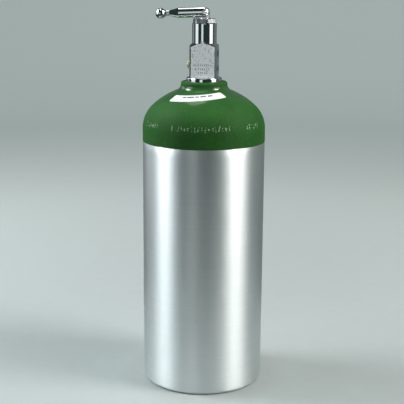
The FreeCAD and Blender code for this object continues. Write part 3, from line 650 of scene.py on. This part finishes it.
def studio_paper():
    """Plain pale backdrop paper that glows by its own emission, as painted light: a little just past
    the foot, and more the further it is from the object.
    """
    material = new_material("studio_paper", (0.39, 0.42, 0.416), 0.0, 0.95, Emission_Strength=1.0)
    tooth = noise(material, place(material), 60.0, 3.0)
    tone = mix_colour(material, tooth, colour(0.375, 0.405, 0.40), colour(0.405, 0.435, 0.43))
    connect(material, "Base Color", tone)
    inputs = {0: place(material)}
    reach = add_node(material, "VectorMath", inputs, operation="LENGTH").outputs["Value"]
    # Painted light: an emission colour lifts the paper just past the foot's contact line and rises
    # toward the far wall.
    near = span(material, reach, 0.15, 0.85)
    far = span(material, reach, 0.7, 2.4)
    contact_lift = span(material, reach, 0.058, 0.085)
    painted_glow = mix_colour(material, contact_lift, colour(0.0, 0.0, 0.0), colour(0.04, 0.055, 0.054))
    painted_glow = mix_colour(material, near, painted_glow, colour(0.185, 0.215, 0.205))
    painted_glow = mix_colour(material, far, painted_glow, colour(0.25, 0.30, 0.29))
    connect(material, "Emission Color", painted_glow)
    return material


MATERIALS = {
    "aluminium": brushed_aluminium(),
    "green_enamel": green_enamel(),
    "chrome": chrome(),
    "brass": turned_metal("turned_brass", (0.90, 0.86, 0.56), (0.80, 0.74, 0.42), 0.34, 900),
    "bronze": sintered_bronze(),
    "copper": turned_metal("rolled_copper", (0.80, 0.46, 0.32), (0.62, 0.32, 0.20), 0.30, 500),
    "stainless": turned_metal("turned_stainless", (0.64, 0.64, 0.65), (0.52, 0.52, 0.54), 0.20, 1200),
    "rubber": moulded("black_rubber", (0.030, 0.030, 0.031), (0.045, 0.045, 0.046), 0.55, 1500),
    "nylon": moulded("natural_nylon", (0.86, 0.84, 0.76), (0.80, 0.78, 0.70), 0.45, 1100),
    "ptfe": moulded("white_ptfe", (0.90, 0.90, 0.88), (0.84, 0.84, 0.82), 0.38, 900),
    "white_label": label_vinyl(),
}


def dress_cad_nodes():
    """Gives every CAD node the finished material of the slot that it was packed with."""
    for node in frame["nodes"].values():
        for slot in node.material_slots:
            slot.material = MATERIALS[slot.material.name.split(".")[0]]


# ---- Pieces ----
def bare_vessel():
    """The whole aluminium vessel, with the shoulder sunk by the depth of its coat."""
    points, faces = revolve(vessel_section(), even_angles(VESSEL_COLUMNS), closed=False)
    piece = new_piece("bare_vessel", points, faces, MATERIALS["aluminium"])
    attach(piece, "tank")
    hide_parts("cylinder_shell")


def enamel_coat():
    """The painted skin, with the marks pressed into its knuckle and a pale painted highlight inside
    them.
    """
    section, knuckle_rows = coat_section()
    strokes = stamp_strokes()
    rise = KNUCKLE_RADIUS * math.radians(KNUCKLE_END) / (len(knuckle_rows) - 1)
    angles = stamp_angles()

    def pressed(row, angle):
        """How deep the coat is stamped at one of its vertices, from 0 to 1."""
        if row not in knuckle_rows:
            return 0.0
        climb = (row - knuckle_rows[0]) * rise
        if not STAMP_FOOT - STAMP_CELL < climb < STAMP_FOOT + STAMP_HEIGHT + STAMP_CELL:
            return 0.0
        return stamped(strokes, math.radians(angle) * TANK_RADIUS, climb)

    points, faces = revolve(section, angles, True, lambda row, angle: STAMP_DEPTH * pressed(row, angle))
    piece = new_piece("enamel_coat", points, faces, MATERIALS["green_enamel"], crease=50.0)
    # The stamp depth of each vertex, kept as the mask for the painted highlight in the marks.
    glint_mask = [pressed(row, angle) for row in range(len(section)) for angle in angles]
    paint_attribute(piece, "glint_mask", glint_mask)
    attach(piece, "tank")
    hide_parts("cylinder_shell")


def corner_trim(across, corner):
    """How far a rounded end is drawn back at a distance from the strip's nearer long edge."""
    if across >= corner:
        return 0.0
    return corner - math.sqrt(corner**2 - (corner - across) ** 2)


def label_sheet():
    """A thin strip with rounded corners that follows the crown's sphere."""
    points = []
    ink = []
    rim = []
    width = LABEL_OUTER - LABEL_INNER
    for top in (True, False):
        lift = LABEL_LIFT if top else LABEL_GAP
        for i in range(LABEL_ROWS + 1):
            v = i / LABEL_ROWS
            radius = LABEL_INNER + width * v
            trim = math.degrees(corner_trim(min(v, 1 - v) * width, LABEL_CORNER) / radius)
            for j in range(LABEL_COLUMNS + 1):
                u = j / LABEL_COLUMNS
                angle = LABEL_START + trim + (LABEL_END - LABEL_START - 2 * trim) * u
                a = math.radians(angle)
                x = LABEL_CENTRE.x + radius * math.sin(a)
                y = LABEL_CENTRE.y - radius * math.cos(a)
                z = CROWN_Z + math.sqrt((CROWN_RADIUS + lift) ** 2 - x * x - y * y)
                points.append((x, y, z))
                printed = any(low < u < high for low, high in PRINT_WORDS)
                ink.append(float(top and printed and PRINT_LOW < v < PRINT_HIGH))
                rim.append(float(min(u, 1 - u) < RIM_ALONG or min(v, 1 - v) < RIM_ACROSS))
    columns = LABEL_COLUMNS + 1
    layer = columns * (LABEL_ROWS + 1)
    faces = []
    for i in range(LABEL_ROWS):
        for j in range(LABEL_COLUMNS):
            a = i * columns + j
            faces.append((a, a + columns, a + columns + 1, a + 1))
            faces.append((layer + a, layer + a + 1, layer + a + columns + 1, layer + a + columns))
    border = list(range(columns))
    border += [i * columns + LABEL_COLUMNS for i in range(1, LABEL_ROWS + 1)]
    border += [LABEL_ROWS * columns + j for j in reversed(range(LABEL_COLUMNS))]
    border += [i * columns for i in reversed(range(1, LABEL_ROWS))]
    for here, after in zip(border, border[1:] + border[:1]):
        faces.append((here, after, layer + after, layer + here))
    piece = new_piece("label_sheet", points, faces, MATERIALS["white_label"])
    paint_attribute(piece, "ink", ink)
    paint_attribute(piece, "rim", rim)
    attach(piece, "tank")
    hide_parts("shoulder_label")


# ---- Studio ----
def toward(azimuth, elevation, distance):
    """A point at an azimuth right of the camera's side of the object, as seen from the object."""
    a = math.radians(CAMERA_AZIMUTH + azimuth)
    e = math.radians(elevation)
    flat = distance * math.cos(e)
    return Vector((flat * math.sin(a), -flat * math.cos(a), distance * math.sin(e)))


def softbox(name, position, target, width, height, power, tint):
    """A rectangular light that the camera doesn't see directly."""
    light = bpy.data.lights.new(name, "AREA")
    light.shape = "RECTANGLE"
    light.size = width
    light.size_y = height
    light.energy = power
    light.color = tint
    lamp = bpy.data.objects.new(name, light)
    lamp.location = position
    lamp.rotation_euler = (Vector(target) - Vector(position)).to_track_quat("-Z", "Y").to_euler()
    lamp.visible_camera = False
    bpy.context.scene.collection.objects.link(lamp)


def tall_light(name, azimuth, distance, width, low, high, tint):
    """A standing light in two parts, with its own radiance below and above LIGHT_SPLIT."""
    parts = (("_low", LIGHT_FOOT, LIGHT_SPLIT, low), ("_high", LIGHT_SPLIT, LIGHT_TOP, high))
    for part, foot, top, radiance in parts:
        middle = Vector((0, 0, (foot + top) / 2))
        height = top - foot
        power = math.pi * width * height * radiance
        place_at = toward(azimuth, 0, distance) + middle
        softbox(name + part, place_at, middle, width, height, power, tint)


def head_light(name, azimuth, elevation, size, power, tint):
    """A raised square light, in its direction as seen from the neck."""
    neck = Vector((0, 0, NECK_TOP))
    softbox(name, toward(azimuth, elevation, HEAD_DISTANCE) + neck, neck, size, size, power, tint)


def lights():
    """Every light: the standing ones round the object, then the raised ones."""
    for name, settings in STANDING_LIGHTS.items():
        tall_light(name, *settings)
    for name, settings in HEAD_LIGHTS.items():
        head_light(name, *settings)


def world():
    """Slate surroundings for reflections in front of the object, paler behind it."""
    scenery = bpy.data.worlds.new("studio_world")
    bpy.context.scene.world = scenery
    scenery.use_nodes = True
    background = scenery.node_tree.nodes["Background"]
    behind = toward(WORLD_BEHIND, 0, 1.0)
    direction = add_node(scenery, "TexCoord", {}).outputs["Generated"]
    facing = add_node(
        scenery, "VectorMath", {0: direction, 1: behind}, operation="DOT_PRODUCT"
    ).outputs["Value"]
    share = span(scenery, facing, 0.4, 0.85)
    tone = mix_colour(scenery, share, colour(0.022, 0.038, 0.037), colour(0.15, 0.19, 0.185))
    scenery.node_tree.links.new(tone, background.inputs["Color"])


def studio_ring(name, section, material):
    """A piece of the studio turned about the object's axis."""
    points, faces = revolve(section, even_angles(STUDIO_COLUMNS), closed=False)
    ring = new_piece(name, points, faces, material)
    return ring


def backdrop():
    """A round floor that sweeps up into a wall. Bounced light meets the floor but not the wall."""
    paper = studio_paper()
    studio_ring("studio_floor", [(0, 0), (FLOOR_RADIUS / 4, 0), (FLOOR_RADIUS, 0)], paper)
    sweep = [(FLOOR_RADIUS, 0), (SWEEP_START, 0)]
    sweep += arc((SWEEP_START, SWEEP_RADIUS), SWEEP_RADIUS, -90, 0, SWEEP_ROWS)
    sweep.append((SWEEP_START + SWEEP_RADIUS, SWEEP_TOP))
    wall = studio_ring("studio_wall", sweep, paper)
    wall.visible_glossy = False
    wall.visible_diffuse = False


def camera():
    """A long lens a little to the right of the marked flat's front, looking slightly down."""
    lens = bpy.data.cameras.new("camera")
    lens.lens = CAMERA_LENS
    lens.sensor_width = CAMERA_SENSOR
    lens.shift_x = CAMERA_SHIFT
    lens.clip_start = CLIP_NEAR
    lens.clip_end = CLIP_FAR
    eye = bpy.data.objects.new("camera", lens)
    eye.location = toward(0, 0, CAMERA_DISTANCE) + Vector((0, 0, CAMERA_HEIGHT))
    upright = Euler((math.radians(90 - CAMERA_PITCH), 0, math.radians(CAMERA_AZIMUTH))).to_matrix()
    roll = Euler((0, 0, math.radians(CAMERA_ROLL))).to_matrix()
    eye.rotation_euler = (upright @ roll).to_euler()
    bpy.context.scene.collection.objects.link(eye)
    bpy.context.scene.camera = eye


camera()
backdrop()
world()
lights()
dress_cad_nodes()
bare_vessel()
enamel_coat()
label_sheet()
bpy.context.scene.view_settings.view_transform = "Standard"
